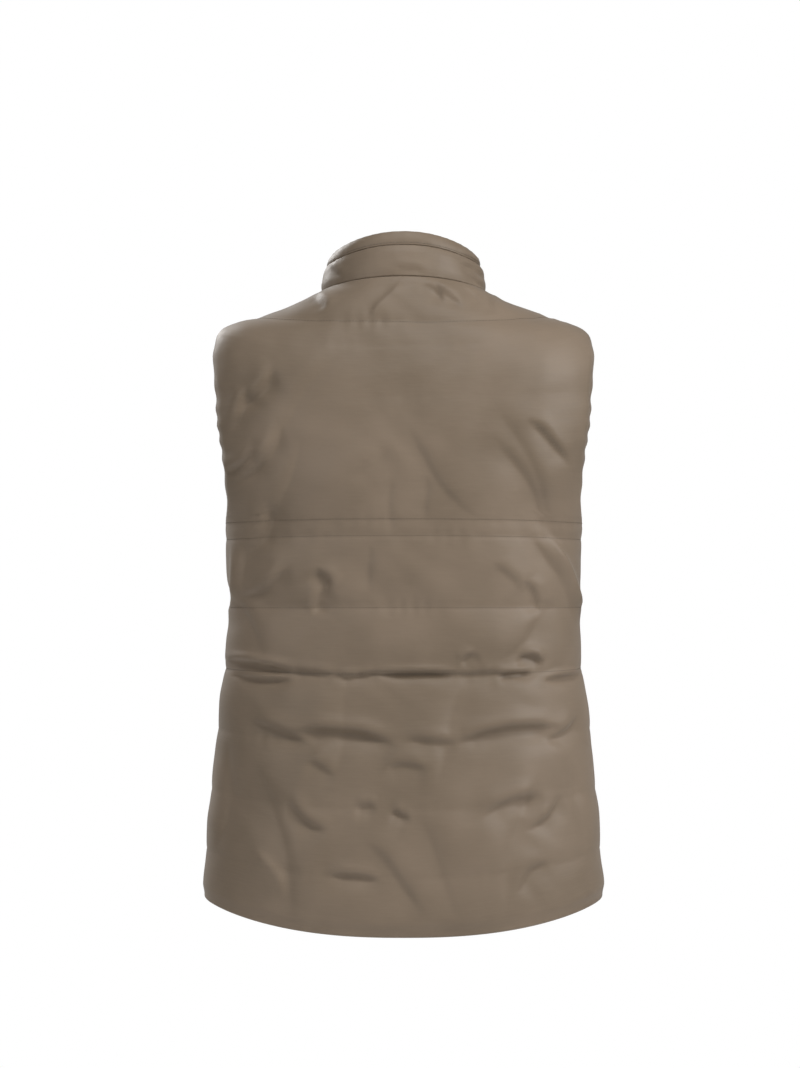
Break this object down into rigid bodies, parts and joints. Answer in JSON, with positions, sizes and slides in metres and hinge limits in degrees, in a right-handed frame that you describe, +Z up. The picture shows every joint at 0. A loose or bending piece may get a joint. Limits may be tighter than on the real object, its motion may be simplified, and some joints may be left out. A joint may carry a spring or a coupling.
{
  "type": "sleeveless padded vest with a stand collar",
  "caption": "Sleeveless padded vest, hollow as it is worn, with a stand collar, stitched channels across the body and a closed front zip.",
  "frame": {"origin": "middle of the neck opening, level with the inner ends of the shoulder seams, where the wearer's shoulders carry the vest", "axes": "+Z up, the back faces +Y and the zip -Y, +X is the wearer's left"},
  "size_m": [0.437, 0.2497, 0.753],
  "materials": {
    "shell_cloth": "fine plain weave with a soft sheen, padded",
    "zip_tape": "woven tape",
    "zip_teeth": "moulded",
    "zip_metal": "satin"
  },
  "bodies": {
    "vest": {"back_panel": "shell_cloth", "front_left": "shell_cloth", "front_right": "shell_cloth", "collar_stand": "shell_cloth", "collar_top_band": "shell_cloth", "zip_tape_left": "zip_tape", "zip_tape_right": "zip_tape", "zip_teeth": "zip_teeth", "zip_slider": "zip_metal"},
    "zip_pull": {"zip_pull": "zip_metal"}
  },
  "joints": [
    {"name": "zip_pull_hinge", "type": "hinge", "parent": "vest", "child": "zip_pull", "pos_m": [0, -0.07352, -0.02722], "axis": [-1, 0, 0], "range_deg": [0, 150]}
  ]
}
